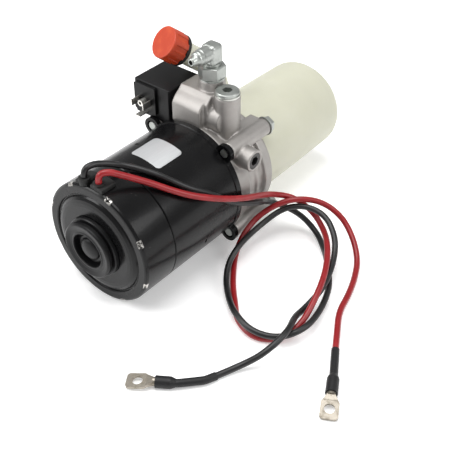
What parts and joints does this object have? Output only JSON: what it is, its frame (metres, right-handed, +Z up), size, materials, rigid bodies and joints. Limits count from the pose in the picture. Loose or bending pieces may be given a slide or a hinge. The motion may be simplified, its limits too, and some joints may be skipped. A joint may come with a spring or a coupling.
{
  "type": "hydraulic power unit",
  "caption": "Compact 24 V hydraulic power unit: black motor, aluminium pump and valve block, translucent oil tank with orange cap, two battery cables.",
  "frame": {"origin": "bottom centre of the bounding box of the unit itself, its two cables left out", "axes": "+X along the motor axis from the motor's rear cover to the tank, +Y away from the cables towards the solenoid coil, +Z up"},
  "size_m": [0.3686, 0.3118, 0.184],
  "materials": {
    "black_steel": "satin black paint",
    "black_plastic": "moulded",
    "black_cast": "satin black paint over casting",
    "gasket_paper": "pressed fibre",
    "zinc_steel": "bright zinc plate",
    "ferrite": "ground",
    "lamination_steel": "turned",
    "copper": "enamelled copper",
    "ground_steel": "ground",
    "bearing_steel": "polished",
    "brass": "pressed",
    "carbon": "sintered carbon",
    "spring_steel": "drawn wire",
    "black_rubber": "moulded rubber",
    "cast_aluminium": "as cast, fine grain",
    "dark_screws": "black oxide",
    "tinned_brass": "tin plate",
    "translucent_plastic": "translucent natural polyethylene",
    "white_plastic": "moulded",
    "orange_plastic": "moulded orange-red",
    "red_pvc": "red cable jacket",
    "black_pvc": "black cable jacket",
    "shrink_sleeve": "heat-shrunk tube",
    "tinned_copper": "tin plate"
  },
  "bodies": {
    "unit_body": {"end_cover": "black_steel", "bearing_cap": "black_plastic", "hub_plug": "black_plastic", "rear_housing": "black_steel", "motor_can": "black_steel", "motor_flange": "black_cast", "motor_gasket": "gasket_paper", "motor_bolts": "zinc_steel", "bolt_washers": "zinc_steel", "pole_magnets": "ferrite", "rear_bearing": "bearing_steel", "front_bearing": "bearing_steel", "brush_plate": "black_plastic", "brush_holders": "brass", "brushes": "carbon", "brush_springs": "spring_steel", "grommet_black": "black_rubber", "grommet_red": "black_rubber", "shaft_seal": "black_rubber", "pump_body": "cast_aluminium", "pump_cover": "cast_aluminium", "pump_screws": "dark_screws", "pump_casting": "cast_aluminium", "check_spring": "spring_steel", "check_plug": "zinc_steel", "plug_seal": "zinc_steel", "relief_spring": "spring_steel", "valve_stem": "zinc_steel", "valve_spring": "spring_steel", "coil_housing": "black_plastic", "coil_nut": "black_plastic", "coil_terminals": "tinned_brass", "outlet_elbow": "zinc_steel", "elbow_nut": "zinc_steel", "tank": "translucent_plastic", "tank_oring": "black_rubber", "suction_strainer": "white_plastic", "return_tube": "white_plastic", "red_cable": "red_pvc", "black_cable": "black_pvc", "red_sleeve": "shrink_sleeve", "black_sleeve": "shrink_sleeve", "red_lug": "tinned_copper", "black_lug": "tinned_copper"},
    "rotor": {"motor_shaft": "ground_steel", "armature_core": "lamination_steel", "armature_windings": "copper", "commutator": "copper", "shaft_coupling": "ground_steel", "pump_shaft": "ground_steel", "drive_gear": "ground_steel"},
    "idler": {"driven_gear": "ground_steel"},
    "seal_ring": {"filler_seal": "black_rubber"},
    "liner": {"cap_liner": "white_plastic"},
    "cap": {"filler_cap": "orange_plastic"},
    "plunger": {"valve_plunger": "ground_steel"},
    "ball": {"check_ball": "bearing_steel"},
    "poppet": {"relief_poppet": "ground_steel"},
    "spring_disc": {"relief_seat": "ground_steel"},
    "adjuster": {"relief_screw": "dark_screws"}
  },
  "joints": [
    {"name": "rotor_spin", "type": "hinge", "parent": "unit_body", "child": "rotor", "pos_m": [-0.0452, -0.0075, 0.057], "axis": [1, 0, 0], "continuous": true},
    {"name": "driven_gear_spin", "type": "hinge", "parent": "unit_body", "child": "idler", "pos_m": [0.0458, -0.0075, 0.039], "axis": [1, 0, 0], "continuous": true},
    {"name": "cap_lift_off", "type": "slide", "parent": "unit_body", "child": "seal_ring", "axis": [-0.7513, 0.2472, 0.6119], "range_m": [0, 0.04]},
    {"name": "cap_thread_rise", "type": "slide", "parent": "seal_ring", "child": "liner", "axis": [-0.7513, 0.2472, 0.6119], "range_m": [0, 0.009]},
    {"name": "cap_turn", "type": "hinge", "parent": "liner", "child": "cap", "pos_m": [0.00276, 0.0368, 0.16665], "axis": [-0.7513, 0.2472, 0.6119], "range_deg": [0, 1080]},
    {"name": "solenoid_plunger_slide", "type": "slide", "parent": "unit_body", "child": "plunger", "axis": [0, 1, 0], "range_m": [0, 0.002], "stiffness_N_per_m": 600, "deforming": ["valve_spring"]},
    {"name": "check_ball_lift", "type": "slide", "parent": "unit_body", "child": "ball", "axis": [0, 0, 1], "range_m": [0, 0.003], "stiffness_N_per_m": 200, "deforming": ["check_spring"]},
    {"name": "relief_poppet_lift", "type": "slide", "parent": "unit_body", "child": "poppet", "axis": [0, -1, 0], "range_m": [0, 0.0015], "stiffness_N_per_m": 20000, "deforming": ["relief_spring"]},
    {"name": "relief_advance", "type": "slide", "parent": "unit_body", "child": "spring_disc", "axis": [0, -1, 0], "range_m": [0, 0.003]},
    {"name": "relief_turn", "type": "hinge", "parent": "spring_disc", "child": "adjuster", "pos_m": [-0.0075, -0.0615, 0.0932], "axis": [0, -1, 0], "range_deg": [0, 720]}
  ],
  "couplings": [
    {"joint": "driven_gear_spin", "follows": "rotor_spin", "ratio": -1},
    {"joint": "cap_thread_rise", "follows": "cap_turn", "m_per_rad": 0.00047746},
    {"joint": "relief_advance", "follows": "relief_turn", "m_per_rad": 0.00023873}
  ]
}
